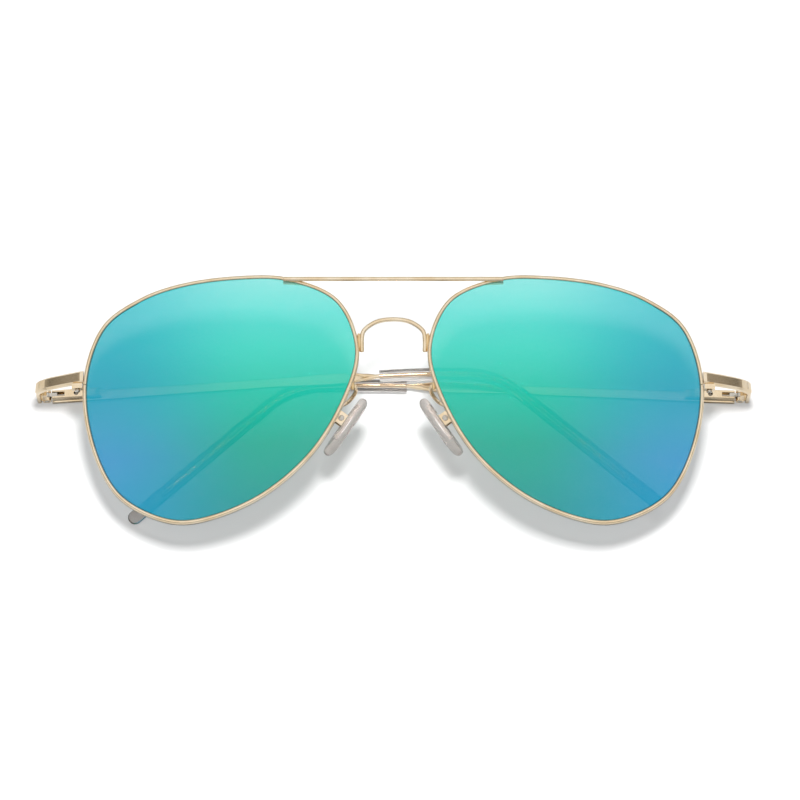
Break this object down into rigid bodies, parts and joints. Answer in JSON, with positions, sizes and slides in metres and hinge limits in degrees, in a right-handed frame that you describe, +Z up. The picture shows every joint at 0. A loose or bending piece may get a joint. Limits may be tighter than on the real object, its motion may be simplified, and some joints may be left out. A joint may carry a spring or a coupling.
{
  "type": "aviator sunglasses",
  "caption": "Folded aviator sunglasses: teardrop mirror lenses in thin gold wire rims, brow bar, arched bridge, sprung temple hinges, clear tips and rocking nose pads.",
  "frame": {"origin": "bottom centre of the folded glasses' box, on the surface they lie on", "axes": "+Z up from that surface towards the lenses' front, +Y towards the brow bar, +X towards the wearer's left. Rest is folded, and the temples open towards -Z"},
  "size_m": [0.1514, 0.0525, 0.0212],
  "materials": {
    "gold_metal": "polished pale gold plating on metal wire and bar",
    "steel": "bright steel",
    "mirror_lens": "polycarbonate with a turquoise to blue mirror coating",
    "clear_acetate": "clear polished acetate",
    "silicone": "clear silicone, softly glossy"
  },
  "bodies": {
    "front": {"brow_bar": "gold_metal", "nose_bridge": "gold_metal", "lens_left": "mirror_lens", "rim_left": "gold_metal", "end_piece_left": "gold_metal", "rim_lock_left": "gold_metal", "rim_lock_screw_left": "steel", "hinge_leaf_left": "gold_metal", "hinge_screw_left": "steel", "pad_arm_left": "gold_metal", "pad_box_left": "gold_metal", "pad_screw_left": "steel", "lens_right": "mirror_lens", "rim_right": "gold_metal", "end_piece_right": "gold_metal", "rim_lock_right": "gold_metal", "rim_lock_screw_right": "steel", "hinge_leaf_right": "gold_metal", "hinge_screw_right": "steel", "pad_arm_right": "gold_metal", "pad_box_right": "gold_metal", "pad_screw_right": "steel"},
    "hinge_slider_left": {"hinge_slider_left": "steel", "slider_stop_left": "steel"},
    "temple_left": {"temple_bar_left": "gold_metal", "hinge_housing_left": "gold_metal", "hinge_spring_left": "steel", "temple_tip_left": "clear_acetate"},
    "nose_pad_left": {"nose_pad_left": "silicone", "pad_insert_left": "clear_acetate"},
    "hinge_slider_right": {"hinge_slider_right": "steel", "slider_stop_right": "steel"},
    "temple_right": {"temple_bar_right": "gold_metal", "hinge_housing_right": "gold_metal", "hinge_spring_right": "steel", "temple_tip_right": "clear_acetate"},
    "nose_pad_right": {"nose_pad_right": "silicone", "pad_insert_right": "clear_acetate"}
  },
  "joints": [
    {"name": "temple_hinge_left", "type": "hinge", "parent": "front", "child": "hinge_slider_left", "pos_m": [0.0735, 0.00543, 0.0021], "axis": [-0.0366, -0.9993, 0], "range_deg": [0, 90]},
    {"name": "spring_slide_left", "type": "slide", "parent": "hinge_slider_left", "child": "temple_left", "axis": [-0.9993, 0.0366, 0], "range_m": [0, 0.0012], "stiffness_N_per_m": 400, "springref_m": -0.002, "deforming": ["hinge_spring_left"]},
    {"name": "pad_rock_left", "type": "hinge", "parent": "front", "child": "nose_pad_left", "pos_m": [0.01111, -0.00324, 0.01224], "axis": [-0.1713, -0.2527, 0.9522], "range_deg": [-8, 8]},
    {"name": "temple_hinge_right", "type": "hinge", "parent": "front", "child": "hinge_slider_right", "pos_m": [-0.0735, 0.00543, 0.0021], "axis": [-0.0541, 0.9985, 0], "range_deg": [0, 92.2]},
    {"name": "spring_slide_right", "type": "slide", "parent": "hinge_slider_right", "child": "temple_right", "axis": [0.9978, 0.054, 0.0384], "range_m": [0, 0.0012], "stiffness_N_per_m": 400, "springref_m": -0.002, "deforming": ["hinge_spring_right"]},
    {"name": "pad_rock_right", "type": "hinge", "parent": "front", "child": "nose_pad_right", "pos_m": [-0.01111, -0.00324, 0.01224], "axis": [0.1713, -0.2527, 0.9522], "range_deg": [-8, 8]}
  ]
}
